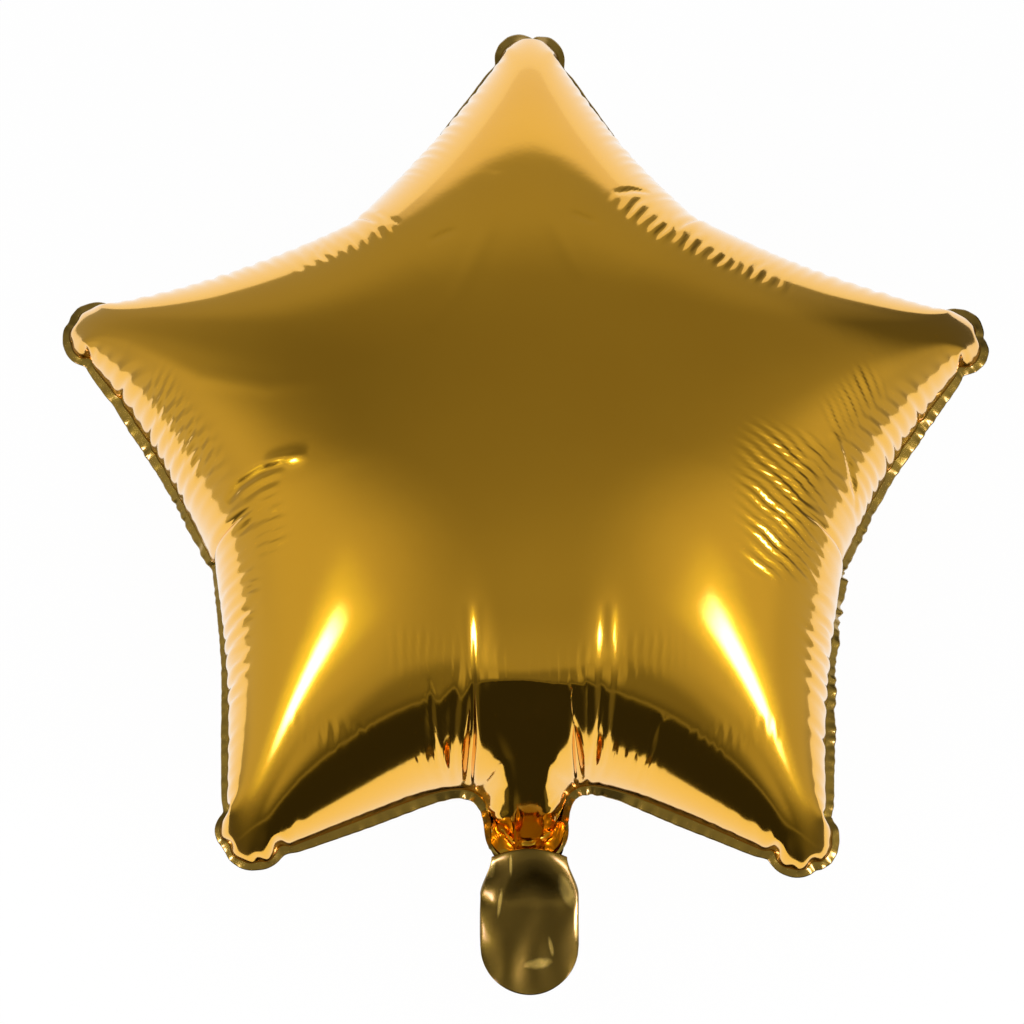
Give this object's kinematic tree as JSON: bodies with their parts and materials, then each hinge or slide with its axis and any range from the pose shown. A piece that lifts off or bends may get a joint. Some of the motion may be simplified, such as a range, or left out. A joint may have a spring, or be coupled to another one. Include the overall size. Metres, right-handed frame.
{
  "type": "star foil balloon",
  "caption": "Inflated star-shaped foil balloon in gold, sealed round its edge, with a flat filling tail, lying on its back.",
  "frame": {"origin": "centre of the flat spot that the back rests on", "axes": "+Z out of the balloon's front, +Y towards the top tip, away from the tail, +X to the right"},
  "size_m": [0.4308, 0.458, 0.1973],
  "materials": {
    "gold_film": "metallised film, mirror-like gold"
  },
  "bodies": {
    "root": {"star_balloon": "gold_film"}
  },
  "joints": []
}
